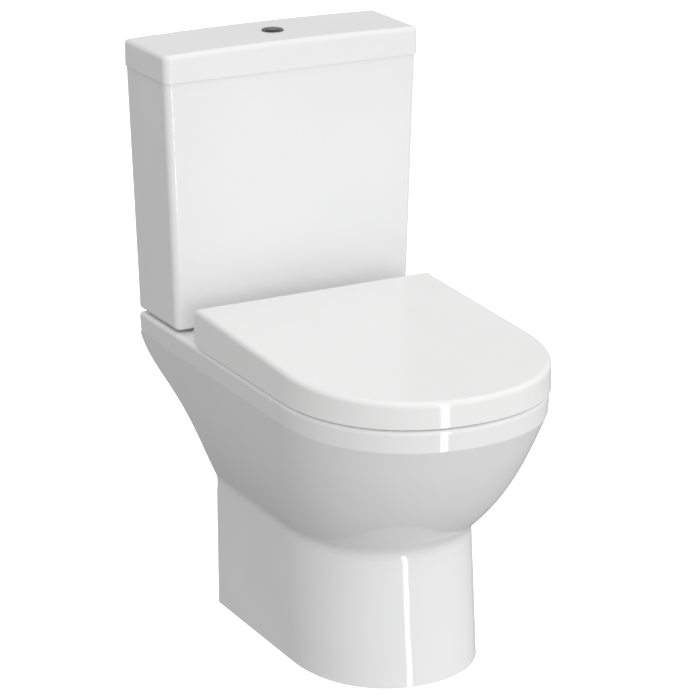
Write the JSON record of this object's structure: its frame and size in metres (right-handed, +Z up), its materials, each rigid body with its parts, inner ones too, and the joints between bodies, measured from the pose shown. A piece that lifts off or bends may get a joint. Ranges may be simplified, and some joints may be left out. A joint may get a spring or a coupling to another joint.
{
  "type": "close coupled toilet",
  "caption": "Floor-standing close coupled toilet with an open-backed pan, horizontal outlet, slim cistern, dual flush button and wrap-over soft-close seat.",
  "frame": {"origin": "middle of the footprint, on the floor", "axes": "+Z up, -Y towards the user's side, +Y towards the wall behind, +X to the right seen from the front"},
  "size_m": [0.382, 0.626, 0.7912],
  "materials": {
    "ceramic": "gloss",
    "seat_white": "gloss",
    "chrome": "polished",
    "steel": "satin",
    "brass": "satin",
    "black_rubber": "matte",
    "clear_rubber": "satin",
    "foam": "matte",
    "white_plastic": "satin",
    "blue_plastic": "satin",
    "grey_plastic": "satin"
  },
  "bodies": {
    "pan_and_cistern": {"pan": "ceramic", "cistern_tank": "ceramic", "hinge_pins": "steel", "hinge_posts": "chrome", "hinge_base_covers": "chrome", "seat_bolts": "steel", "seat_bolt_bushes": "black_rubber", "seat_bolt_washers": "white_plastic", "seat_wing_nuts": "white_plastic", "coupling_gasket": "foam", "cistern_rest_pads": "black_rubber", "cistern_bolts": "steel", "cistern_bolt_rubbers": "black_rubber", "cistern_lower_rubbers": "black_rubber", "cistern_steel_washers": "steel", "cistern_wing_nuts": "white_plastic", "flush_valve_base": "white_plastic", "flush_valve_washer": "black_rubber", "flush_valve_backnut": "white_plastic", "flush_valve_tower": "white_plastic", "flush_actuator": "blue_plastic", "fill_valve_shank": "brass", "fill_valve_washer": "black_rubber", "fill_valve_nut": "white_plastic", "fill_valve_riser": "white_plastic", "fill_valve_head": "grey_plastic", "fill_valve_pin": "steel", "silencer_tube": "white_plastic", "blanking_plug": "white_plastic", "blanking_washer": "black_rubber", "blanking_nut": "white_plastic"},
    "seat_ring": {"seat_ring": "seat_white", "ring_bushes": "white_plastic", "ring_bumpers": "clear_rubber"},
    "seat_cover": {"seat_cover": "seat_white", "soft_close_dampers": "grey_plastic", "cover_bumpers": "clear_rubber"},
    "cistern_lid": {"cistern_lid": "ceramic", "button_housing": "white_plastic", "button_bezel": "chrome", "button_spring_full": "steel", "button_spring_half": "steel", "button_washer": "black_rubber", "button_nut": "white_plastic"},
    "button_full": {"button_full": "chrome", "push_rod_full": "blue_plastic"},
    "button_half": {"button_half": "chrome", "push_rod_half": "blue_plastic"},
    "plunger_full": {"plunger_full": "blue_plastic"},
    "plunger_half": {"plunger_half": "blue_plastic"},
    "flush_stem": {"flush_valve_stem": "blue_plastic", "flush_seal": "clear_rubber", "flush_float": "grey_plastic"},
    "fill_float": {"fill_valve_float": "white_plastic", "fill_valve_link": "steel"},
    "fill_lever": {"fill_valve_lever": "grey_plastic"}
  },
  "joints": [
    {"name": "seat_ring_hinge", "type": "hinge", "parent": "pan_and_cistern", "child": "seat_ring", "pos_m": [0, 0.115, 0.424], "axis": [-1, 0, 0], "range_deg": [0, 94]},
    {"name": "seat_cover_hinge", "type": "hinge", "parent": "seat_ring", "child": "seat_cover", "pos_m": [0, 0.115, 0.424], "axis": [1, 0, 0], "range_deg": [-94, 0]},
    {"name": "cistern_lid_lift", "type": "slide", "parent": "pan_and_cistern", "child": "cistern_lid", "axis": [0, 0, 1], "range_m": [0, 0.15]},
    {"name": "button_full_press", "type": "slide", "parent": "cistern_lid", "child": "button_full", "axis": [0, 0, -1], "range_m": [0, 0.006], "stiffness_N_per_m": 250, "springref_m": -0.004, "deforming": ["button_spring_full"]},
    {"name": "button_half_press", "type": "slide", "parent": "cistern_lid", "child": "button_half", "axis": [0, 0, -1], "range_m": [0, 0.006], "stiffness_N_per_m": 250, "springref_m": -0.004, "deforming": ["button_spring_half"]},
    {"name": "plunger_full_travel", "type": "slide", "parent": "pan_and_cistern", "child": "plunger_full", "axis": [0, 0, -1], "range_m": [0, 0.006]},
    {"name": "plunger_half_travel", "type": "slide", "parent": "pan_and_cistern", "child": "plunger_half", "axis": [0, 0, -1], "range_m": [0, 0.006]},
    {"name": "flush_stem_lift", "type": "slide", "parent": "pan_and_cistern", "child": "flush_stem", "axis": [0, 0, 1], "range_m": [0, 0.012]},
    {"name": "fill_float_travel", "type": "slide", "parent": "pan_and_cistern", "child": "fill_float", "axis": [0, 0, 1], "range_m": [0, 0.02]},
    {"name": "fill_lever_tilt", "type": "hinge", "parent": "pan_and_cistern", "child": "fill_lever", "pos_m": [-0.12, 0.248, 0.706], "axis": [0, 1, 0], "range_deg": [0, 28.3]}
  ],
  "couplings": [
    {"joint": "plunger_full_travel", "follows": "button_full_press", "ratio": 1},
    {"joint": "plunger_half_travel", "follows": "button_half_press", "ratio": 1},
    {"joint": "flush_stem_lift", "follows": "button_full_press", "ratio": 2},
    {"joint": "fill_lever_tilt", "follows": "fill_float_travel", "rad_per_m": 24.639}
  ]
}
